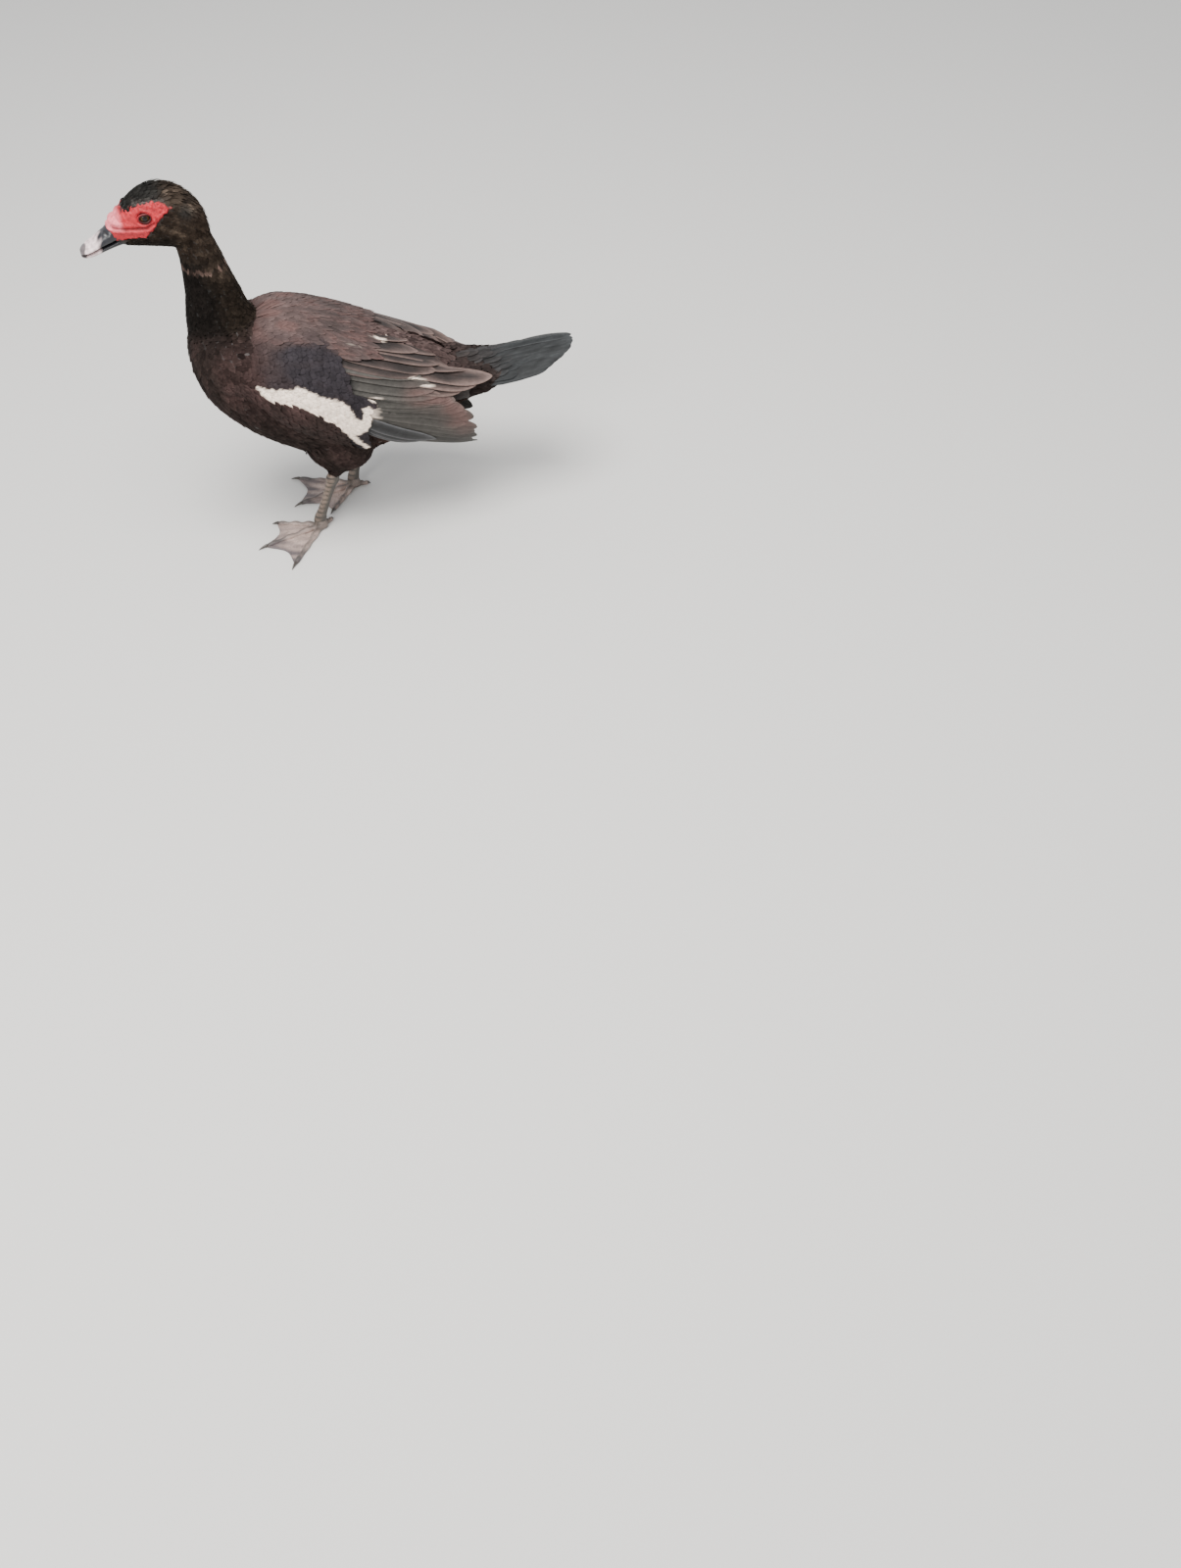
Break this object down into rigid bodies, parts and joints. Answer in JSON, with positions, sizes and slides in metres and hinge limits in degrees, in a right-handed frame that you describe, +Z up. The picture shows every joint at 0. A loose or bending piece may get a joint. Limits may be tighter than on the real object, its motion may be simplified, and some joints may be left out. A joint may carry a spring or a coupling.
{
  "type": "muscovy duck model",
  "caption": "Life-size still model of a standing muscovy duck hen, dark-feathered with a red face, folded wings and webbed feet.",
  "frame": {"origin": "on the ground, under the middle of the duck's bounding box", "axes": "+Z up, +X from the bill towards the tail, +Y towards the duck's right side"},
  "size_m": [0.5168, 0.206, 0.4248],
  "materials": {
    "plumage": "small overlapping brown-black body feathers, soft sheen",
    "flight_feathers": "smooth dark flight feathers with a faint green and violet gloss",
    "bill_horn": "smooth horn, slate grey to pinkish white",
    "eye": "wet gloss, dark brown",
    "scaled_skin": "grey-pink scaled skin, slightly damp",
    "red_face": "bare warty red skin, soft sheen"
  },
  "bodies": {
    "root": {"torso": "plumage", "neck": "plumage", "head": "plumage", "thigh_left": "plumage", "thigh_right": "plumage", "wing_left": "flight_feathers", "wing_right": "flight_feathers", "tail": "flight_feathers", "bill_upper": "bill_horn", "bill_lower": "bill_horn", "eye_left": "eye", "eye_right": "eye", "leg_left": "scaled_skin", "leg_right": "scaled_skin", "foot_left": "scaled_skin", "foot_right": "scaled_skin"}
  },
  "joints": []
}
